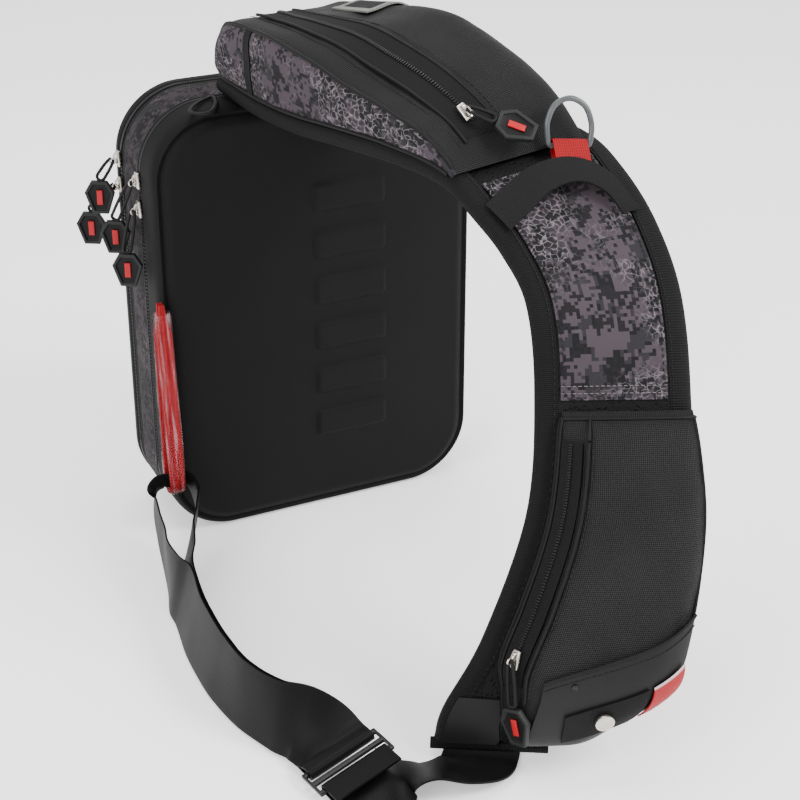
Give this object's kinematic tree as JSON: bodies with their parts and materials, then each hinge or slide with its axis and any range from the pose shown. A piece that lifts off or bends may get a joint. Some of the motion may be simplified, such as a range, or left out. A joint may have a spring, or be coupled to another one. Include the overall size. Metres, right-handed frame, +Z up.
{
  "type": "fishing tackle sling bag",
  "caption": "Tackle sling bag: zipped upright body with a moulded back panel and a wide padded shoulder strap carrying zipped pouches, a D-ring and adjuster webbing.",
  "frame": {"origin": "middle of the body's flat base, on the floor", "axes": "+Z up; -Y toward the wearer's side, where the strap arches out; +X to the right seen from the wearer's side"},
  "size_m": [0.3113, 0.5178, 0.4283],
  "materials": {
    "ballistic": "coarse black weave",
    "binding": "ribbed black cloth",
    "clear": "clear and glossy",
    "grey": "satin",
    "moulded": "matt moulded foam",
    "nickel": "bright",
    "pattern": "printed woven cloth",
    "red": "woven red",
    "rubber": "matt",
    "smooth": "smooth coated cloth",
    "webbing": "ribbed black webbing",
    "zip": "black tape with a coil"
  },
  "bodies": {
    "bag": {"back_panel": "moulded", "back_zip_tape": "zip", "side_gusset": "pattern", "front_zip_tape": "zip", "front_panel": "ballistic", "strap_pad": "binding", "strap_binding_inner": "binding", "strap_binding_outer": "binding", "shoulder_top": "ballistic", "shoulder_gusset": "pattern", "shoulder_end": "pattern", "shoulder_zip_tape": "zip", "shoulder_patch": "grey", "pattern_panel": "pattern", "webbing_band": "webbing", "lower_pouch": "ballistic", "lower_zip_tape": "zip", "lower_panel": "smooth", "snap_tab": "webbing", "red_label": "red", "snap_cap": "nickel", "d_ring_tab": "red", "strap_end_cover": "binding", "strap_end_roll": "binding", "loop_sleeve": "clear", "red_loop": "red", "webbing_loop": "webbing", "webbing_tail": "webbing", "bar_slider": "rubber", "back_pull_upper_slider": "nickel", "back_pull_upper_tag": "rubber", "back_pull_upper_tag_bar": "red", "back_pull_upper_cord": "webbing", "back_pull_lower_slider": "nickel", "back_pull_lower_tag": "rubber", "back_pull_lower_tag_bar": "red", "back_pull_lower_cord": "webbing", "front_pull_upper_slider": "nickel", "front_pull_upper_tag": "rubber", "front_pull_upper_tag_bar": "red", "front_pull_upper_cord": "webbing", "front_pull_lower_slider": "nickel", "front_pull_lower_tag": "rubber", "front_pull_lower_tag_bar": "red", "front_pull_lower_cord": "webbing", "shoulder_pull_slider": "nickel", "shoulder_pull_tag": "rubber", "shoulder_pull_tag_bar": "red", "shoulder_pull_cord": "webbing", "lower_pull_slider": "nickel", "lower_pull_tag": "rubber", "lower_pull_tag_bar": "red", "lower_pull_cord": "webbing", "loop_puller": "rubber"},
    "ring": {"d_ring": "grey"}
  },
  "joints": [
    {"name": "dring_swing", "type": "hinge", "parent": "bag", "child": "ring", "pos_m": [0.07457, -0.27761, 0.36604], "axis": [0.9513, -0.3036, -0.0527], "range_deg": [0, 100]}
  ]
}
